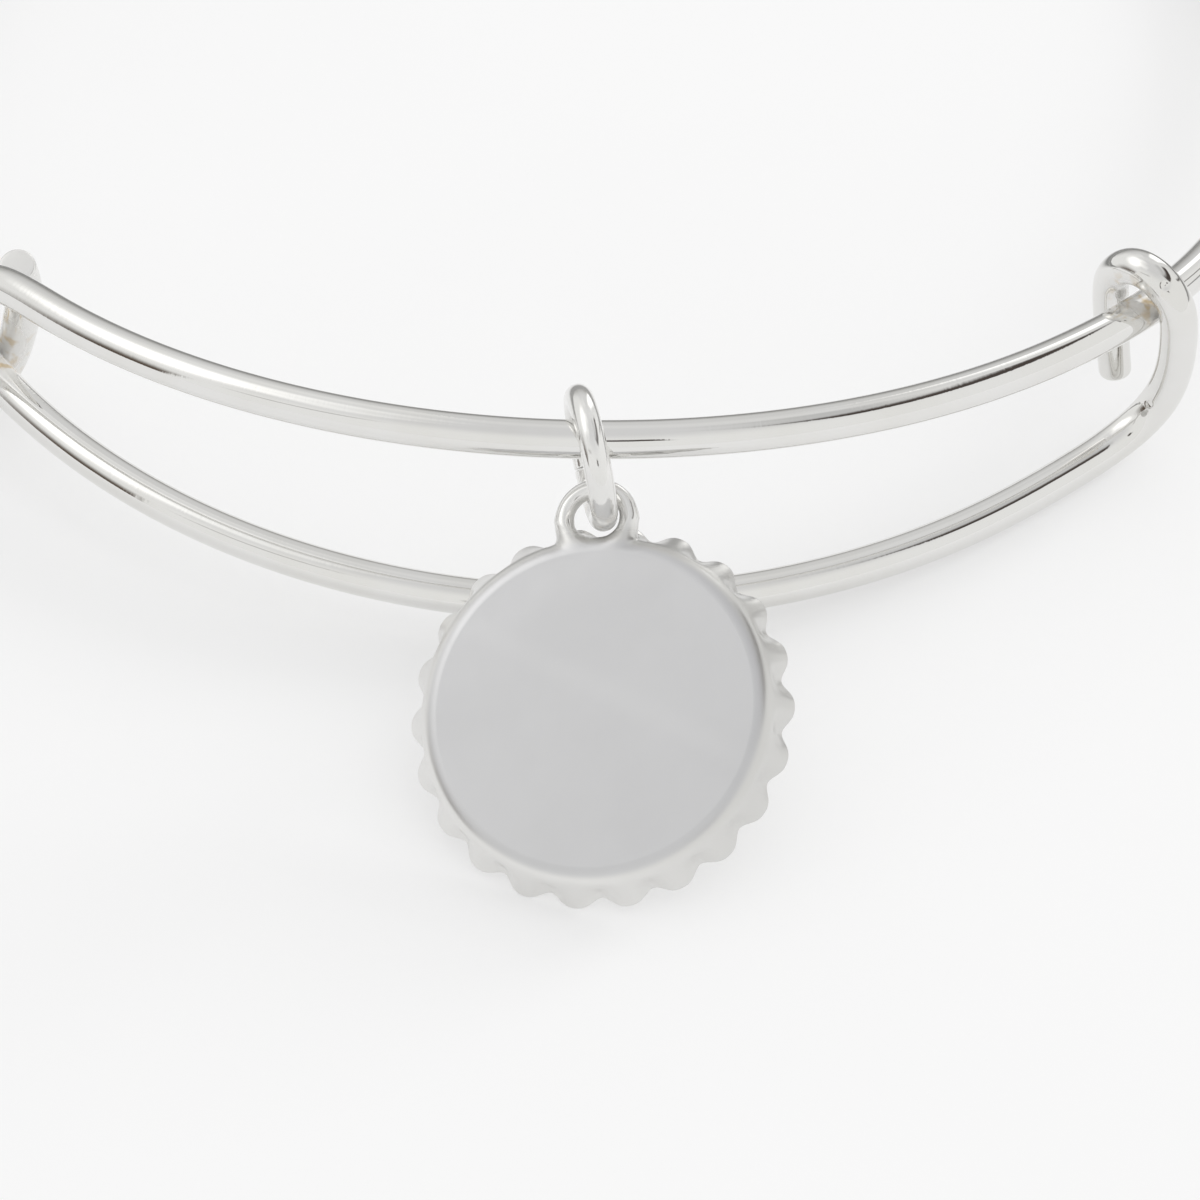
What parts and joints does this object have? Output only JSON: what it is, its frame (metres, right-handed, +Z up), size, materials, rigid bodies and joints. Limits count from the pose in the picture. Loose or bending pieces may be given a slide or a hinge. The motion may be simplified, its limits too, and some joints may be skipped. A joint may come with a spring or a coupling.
{
  "type": "charm bangle",
  "caption": "Expanding wire bangle with hooked, overlapping ends and a jump ring that carries a round fluted bottle cap charm.",
  "frame": {"origin": "axis of the hoop, on the surface that the bangle lies on", "axes": "+Z up, along the axis that the wrist goes through; -Y towards the charm; +X to the right as the picture shows it"},
  "size_m": [0.0666, 0.0826, 0.0142],
  "materials": {
    "bangle_silver": "bright polished silver plate on brass wire",
    "ring_silver": "bright polished silver plate on brass wire",
    "charm_silver": "silver plate, satin on the flat back and polished on the fluted rim and the bail"
  },
  "bodies": {
    "root": {"bangle_wire": "bangle_silver", "jump_ring": "ring_silver", "bottle_cap_charm": "charm_silver"}
  },
  "joints": []
}
